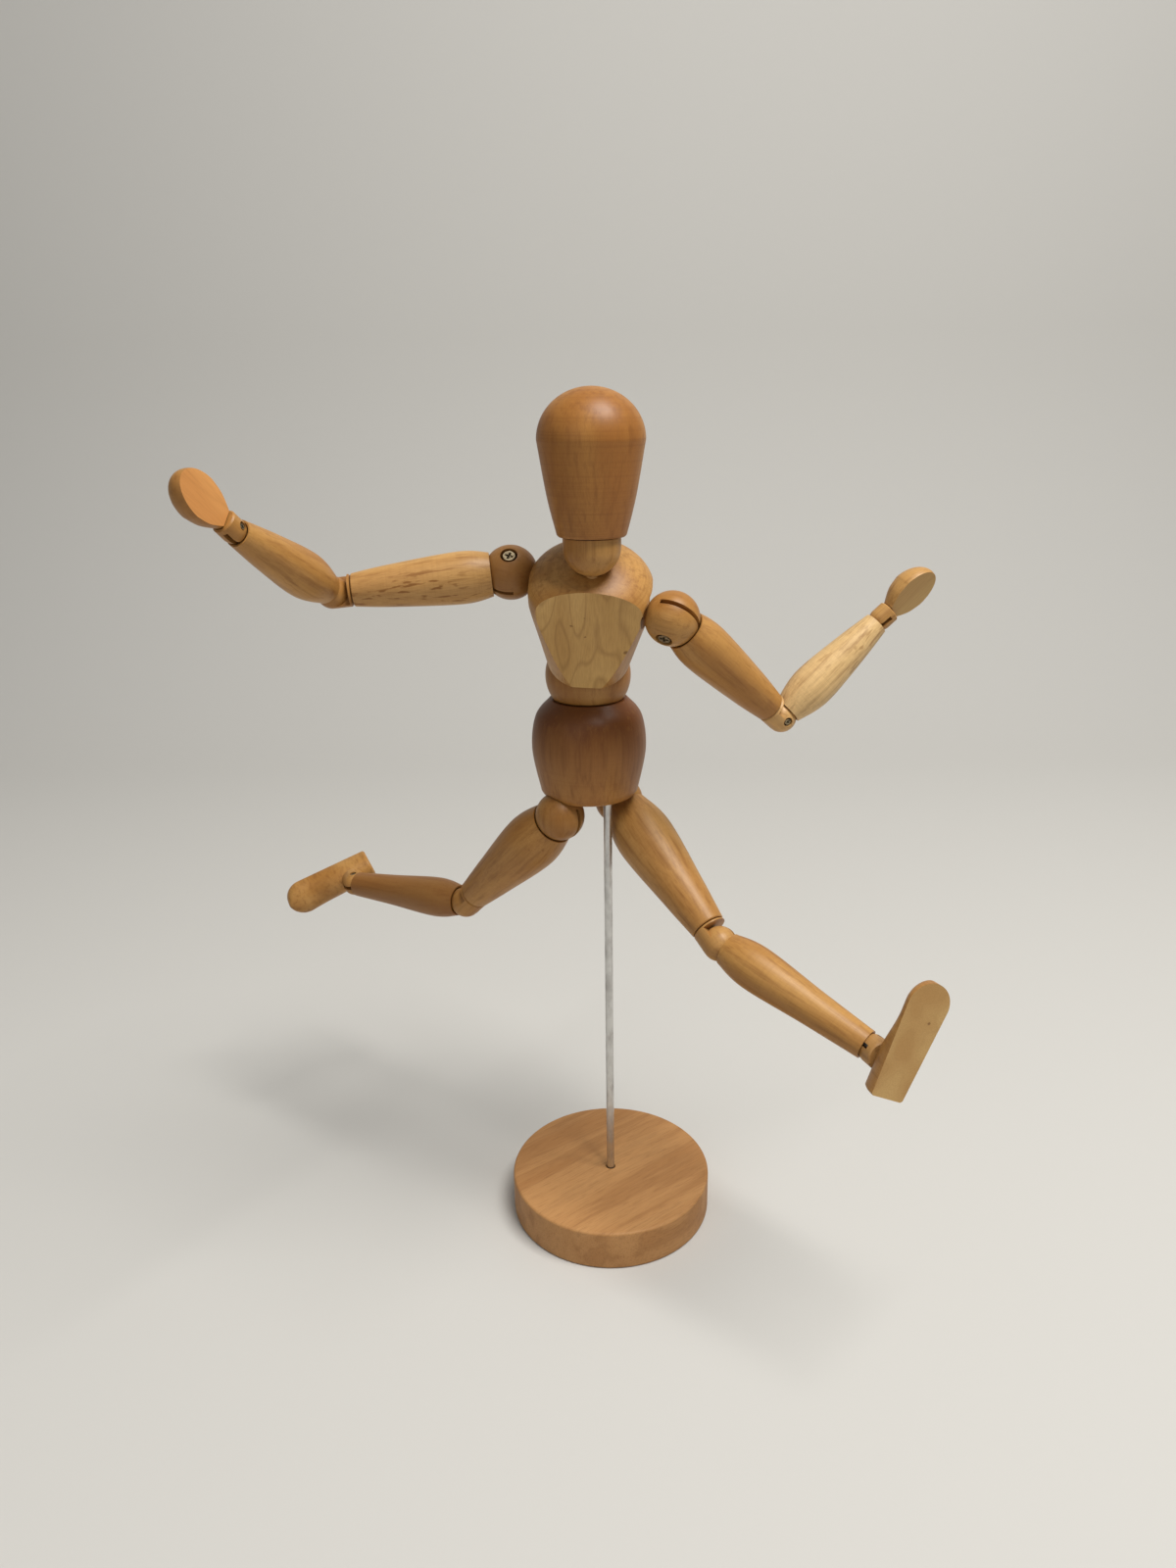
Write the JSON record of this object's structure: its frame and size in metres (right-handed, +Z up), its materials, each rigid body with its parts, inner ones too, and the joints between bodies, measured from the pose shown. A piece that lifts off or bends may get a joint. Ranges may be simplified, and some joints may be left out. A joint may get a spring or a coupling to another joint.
{
  "type": "artist mannequin",
  "caption": "Jointed wooden drawing mannequin on a steel rod and round base, its limbs on slotted ball joints, posed as if running",
  "frame": {"origin": "centre of the base's underside, on the rod's axis", "axes": "+Z up along the rod, -Y the way the figure faces, +X to the figure's left"},
  "size_m": [0.2017, 0.131, 0.2493],
  "materials": {
    "wood": "satin turned hardwood",
    "pelvis_wood": "satin turned hardwood, darker heart",
    "base_wood": "plain sanded wood",
    "steel": "bright drawn steel",
    "screw_steel": "passivated steel"
  },
  "bodies": {
    "stand": {"base": "base_wood", "rod": "steel"},
    "pelvis_body": {"pelvis": "pelvis_wood"},
    "waist_body": {"waist": "wood"},
    "waist_spring_body": {"waist_spring": "steel"},
    "chest_body": {"chest": "wood"},
    "shoulder_spring_body": {"shoulder_spring": "steel"},
    "right_shoulder_ball_body": {"right_shoulder_ball": "wood", "right_shoulder_screw": "screw_steel"},
    "right_upper_arm_body": {"right_shoulder_tab": "steel", "right_upper_arm": "wood"},
    "right_elbow_knuckle_body": {"right_elbow_knuckle": "wood", "right_elbow_screw": "screw_steel"},
    "right_forearm_body": {"right_elbow_tab": "steel", "right_forearm": "wood", "right_wrist_tab": "steel"},
    "right_wrist_knuckle_body": {"right_wrist_knuckle": "wood", "right_wrist_screw": "screw_steel"},
    "right_hand_body": {"right_hand": "wood"},
    "left_shoulder_ball_body": {"left_shoulder_ball": "wood", "left_shoulder_screw": "screw_steel"},
    "left_upper_arm_body": {"left_shoulder_tab": "steel", "left_upper_arm": "wood"},
    "left_elbow_knuckle_body": {"left_elbow_knuckle": "wood", "left_elbow_screw": "screw_steel"},
    "left_forearm_body": {"left_elbow_tab": "steel", "left_forearm": "wood", "left_wrist_tab": "steel"},
    "left_wrist_knuckle_body": {"left_wrist_knuckle": "wood", "left_wrist_screw": "screw_steel"},
    "left_hand_body": {"left_hand": "wood"},
    "neck_spring_body": {"neck_spring": "steel"},
    "neck_body": {"neck": "wood"},
    "head_body": {"head": "wood"},
    "right_hip_ball_body": {"right_hip_ball": "wood", "right_hip_screw": "screw_steel"},
    "right_thigh_body": {"right_hip_tab": "steel", "right_thigh": "wood"},
    "right_knee_knuckle_body": {"right_knee_knuckle": "wood", "right_knee_screw": "screw_steel"},
    "right_calf_body": {"right_ankle_tab": "steel", "right_calf": "wood", "right_knee_tab": "steel"},
    "right_ankle_knuckle_body": {"right_ankle_knuckle": "wood", "right_ankle_screw": "screw_steel"},
    "right_foot_body": {"right_foot": "wood"},
    "left_hip_ball_body": {"left_hip_ball": "wood", "left_hip_screw": "screw_steel"},
    "left_thigh_body": {"left_hip_tab": "steel", "left_thigh": "wood"},
    "left_knee_knuckle_body": {"left_knee_knuckle": "wood", "left_knee_screw": "screw_steel"},
    "left_calf_body": {"left_ankle_tab": "steel", "left_calf": "wood", "left_knee_tab": "steel"},
    "left_ankle_knuckle_body": {"left_ankle_knuckle": "wood", "left_ankle_screw": "screw_steel"},
    "left_foot_body": {"left_foot": "wood"}
  },
  "joints": [
    {"name": "pelvis_turn", "type": "hinge", "parent": "stand", "child": "pelvis_body", "pos_m": [0, 0, 0.138], "axis": [0, 0, -1], "continuous": true},
    {"name": "waist_turn", "type": "hinge", "parent": "pelvis_body", "child": "waist_body", "pos_m": [-0.00517, 0.00662, 0.1734], "axis": [0, 0, -1], "range_deg": [-90, 45], "deforming": ["waist_spring"]},
    {"name": "waist_lean", "type": "hinge", "parent": "waist_body", "child": "waist_spring_body", "pos_m": [-0.00517, 0.00662, 0.1734], "axis": [-0.9986, 0.0523, 0], "range_deg": [-6, 60], "deforming": ["waist_spring"]},
    {"name": "waist_tilt", "type": "hinge", "parent": "waist_spring_body", "child": "chest_body", "pos_m": [-0.00517, 0.00662, 0.1734], "axis": [0.0423, 0.8079, 0.5878], "range_deg": [-16, 12], "deforming": ["waist_spring"]},
    {"name": "shoulder_twist", "type": "hinge", "parent": "chest_body", "child": "shoulder_spring_body", "pos_m": [-0.00395, -0.01182, 0.19866], "axis": [-0.039, 0.5892, -0.807], "range_deg": [-18, 2], "deforming": ["shoulder_spring"]},
    {"name": "right_shoulder_swivel", "type": "hinge", "parent": "shoulder_spring_body", "child": "right_shoulder_ball_body", "pos_m": [-0.02474, -0.00604, 0.20388], "axis": [-0.9364, 0.2604, 0.2353], "range_deg": [-90, 90]},
    {"name": "right_shoulder_bend", "type": "hinge", "parent": "right_shoulder_ball_body", "child": "right_upper_arm_body", "pos_m": [-0.02474, -0.00604, 0.20388], "axis": [0.0023, -0.6659, 0.746], "range_deg": [-103, 47]},
    {"name": "right_elbow_swivel", "type": "hinge", "parent": "right_upper_arm_body", "child": "right_elbow_knuckle_body", "pos_m": [-0.07085, -0.01061, 0.19995], "axis": [-0.9915, -0.0983, -0.0847], "range_deg": [-90, 90]},
    {"name": "right_elbow_bend", "type": "hinge", "parent": "right_elbow_knuckle_body", "child": "right_forearm_body", "pos_m": [-0.07085, -0.01061, 0.19995], "axis": [0.1264, -0.5849, -0.8012], "range_deg": [-21, 70]},
    {"name": "right_wrist_bend", "type": "hinge", "parent": "right_forearm_body", "child": "right_wrist_knuckle_body", "pos_m": [-0.08516, -0.04008, 0.2192], "axis": [0.9177, -0.2377, 0.3183], "range_deg": [-30, 60]},
    {"name": "right_wrist_swivel", "type": "hinge", "parent": "right_wrist_knuckle_body", "child": "right_hand_body", "pos_m": [-0.08516, -0.04008, 0.2192], "axis": [0.3965, 0.5977, -0.6968], "range_deg": [-90, 90]},
    {"name": "left_shoulder_swivel", "type": "hinge", "parent": "shoulder_spring_body", "child": "left_shoulder_ball_body", "pos_m": [0.01684, -0.0176, 0.19344], "axis": [0.9364, -0.2604, -0.2353], "range_deg": [-90, 90]},
    {"name": "left_shoulder_bend", "type": "hinge", "parent": "left_shoulder_ball_body", "child": "left_upper_arm_body", "pos_m": [0.01684, -0.0176, 0.19344], "axis": [0.3498, 0.6384, 0.6856], "range_deg": [-121, 29]},
    {"name": "left_elbow_swivel", "type": "hinge", "parent": "left_upper_arm_body", "child": "left_elbow_knuckle_body", "pos_m": [0.04803, -0.00178, 0.16279], "axis": [0.6708, 0.3402, -0.659], "range_deg": [-90, 90]},
    {"name": "left_elbow_bend", "type": "hinge", "parent": "left_elbow_knuckle_body", "child": "left_forearm_body", "pos_m": [0.04803, -0.00178, 0.16279], "axis": [0.3579, -0.9268, -0.114], "range_deg": [-88, 3]},
    {"name": "left_wrist_bend", "type": "hinge", "parent": "left_forearm_body", "child": "left_wrist_knuckle_body", "pos_m": [0.07524, 0.00559, 0.18827], "axis": [-0.5993, -0.3216, 0.7331], "range_deg": [-41, 49]},
    {"name": "left_wrist_swivel", "type": "hinge", "parent": "left_wrist_knuckle_body", "child": "left_hand_body", "pos_m": [0.07524, 0.00559, 0.18827], "axis": [0.7393, 0.1289, 0.6609], "range_deg": [-90, 90]},
    {"name": "neck_nod", "type": "hinge", "parent": "chest_body", "child": "neck_spring_body", "pos_m": [-0.0033, -0.02166, 0.21214], "axis": [0.9983, -0.0113, -0.0564], "range_deg": [-6, 48], "deforming": ["neck_spring"]},
    {"name": "neck_tilt", "type": "hinge", "parent": "neck_spring_body", "child": "neck_body", "pos_m": [-0.0033, -0.02166, 0.21214], "axis": [0.0113, 0.9999, 0.0012], "range_deg": [-12, 15], "deforming": ["neck_spring"]},
    {"name": "head_turn", "type": "hinge", "parent": "neck_body", "child": "head_body", "pos_m": [-0.00329, -0.02167, 0.21474], "axis": [0.0041, -0.0012, 1], "continuous": true, "deforming": ["neck_spring"]},
    {"name": "right_hip_swivel", "type": "hinge", "parent": "pelvis_body", "child": "right_hip_ball_body", "pos_m": [-0.01368, -0.00003, 0.1335], "axis": [0, 0, -1], "range_deg": [-75, 75]},
    {"name": "right_hip_bend", "type": "hinge", "parent": "right_hip_ball_body", "child": "right_thigh_body", "pos_m": [-0.01368, -0.00003, 0.1335], "axis": [-0.5878, -0.809, 0], "range_deg": [-24, 58]},
    {"name": "right_knee_swivel", "type": "hinge", "parent": "right_thigh_body", "child": "right_knee_knuckle_body", "pos_m": [-0.04511, 0.0228, 0.09599], "axis": [0.582, -0.4228, 0.6947], "range_deg": [-75, 75]},
    {"name": "right_knee_bend", "type": "hinge", "parent": "right_knee_knuckle_body", "child": "right_calf_body", "pos_m": [-0.04511, 0.0228, 0.09599], "axis": [0.5258, 0.8473, 0.0752], "range_deg": [-42, 47]},
    {"name": "right_ankle_bend", "type": "hinge", "parent": "right_calf_body", "child": "right_ankle_knuckle_body", "pos_m": [-0.08671, 0.04909, 0.09069], "axis": [0.1306, 0.007, -0.9914], "range_deg": [-82, 8]},
    {"name": "right_ankle_swivel", "type": "hinge", "parent": "right_ankle_knuckle_body", "child": "right_foot_body", "pos_m": [-0.08671, 0.04909, 0.09069], "axis": [0.3548, -0.9341, 0.0402], "range_deg": [-90, 90]},
    {"name": "left_hip_swivel", "type": "hinge", "parent": "pelvis_body", "child": "left_hip_ball_body", "pos_m": [0.00334, 0.01327, 0.1335], "axis": [0, 0, 1], "range_deg": [-5, 75]},
    {"name": "left_hip_bend", "type": "hinge", "parent": "left_hip_ball_body", "child": "left_thigh_body", "pos_m": [0.00334, 0.01327, 0.1335], "axis": [-0.7986, -0.6018, 0], "range_deg": [-121, 8]},
    {"name": "left_knee_swivel", "type": "hinge", "parent": "left_thigh_body", "child": "left_knee_knuckle_body", "pos_m": [0.03059, -0.0229, 0.10409], "axis": [0.5047, -0.6698, -0.5446], "range_deg": [-75, 75]},
    {"name": "left_knee_bend", "type": "hinge", "parent": "left_knee_knuckle_body", "child": "left_calf_body", "pos_m": [0.03059, -0.0229, 0.10409], "axis": [-0.4406, -0.7424, 0.5047], "range_deg": [-24, 65]},
    {"name": "left_ankle_bend", "type": "hinge", "parent": "left_calf_body", "child": "left_ankle_knuckle_body", "pos_m": [0.06664, -0.0538, 0.09009], "axis": [0.525, 0.243, 0.8157], "range_deg": [-7, 83]},
    {"name": "left_ankle_swivel", "type": "hinge", "parent": "left_ankle_knuckle_body", "child": "left_foot_body", "pos_m": [0.06664, -0.0538, 0.09009], "axis": [0.3026, -0.9491, 0.088], "range_deg": [-90, 90]}
  ]
}
